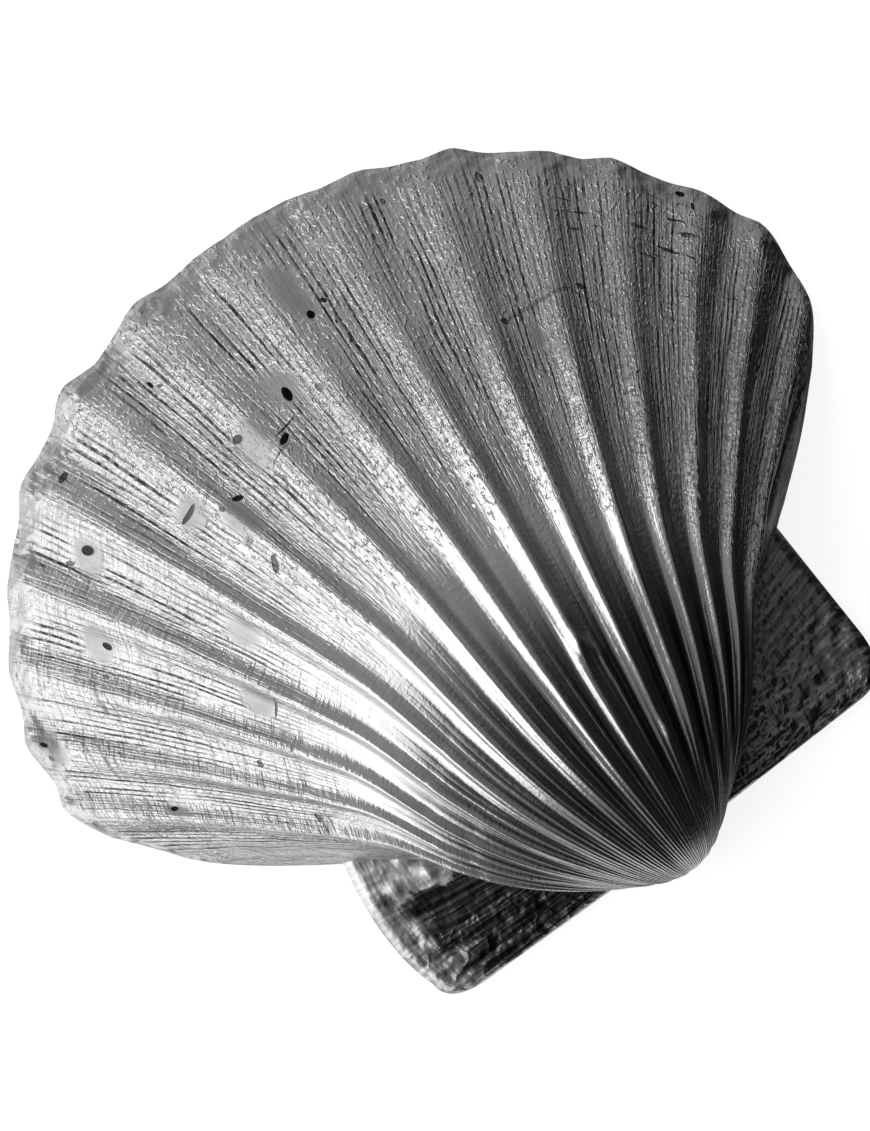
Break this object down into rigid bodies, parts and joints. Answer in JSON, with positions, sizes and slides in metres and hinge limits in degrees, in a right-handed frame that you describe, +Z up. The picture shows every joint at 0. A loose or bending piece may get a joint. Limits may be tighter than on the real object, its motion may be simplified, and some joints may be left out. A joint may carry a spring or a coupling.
{
  "type": "scallop shell valve",
  "caption": "Convex ribbed half of a scallop shell with a straight hinge, two ears and a scalloped margin, lying hollow side down.",
  "frame": {"origin": "middle of the shell's footprint box, on the surface it rests on", "axes": "+X along the straight hinge, across the widest part; +Y from the hinge to the round margin; +Z up, out of the convex outer face"},
  "size_m": [0.1192, 0.1064, 0.0249],
  "materials": {
    "shell": "gloss"
  },
  "bodies": {
    "root": {"shell_valve": "shell"}
  },
  "joints": []
}
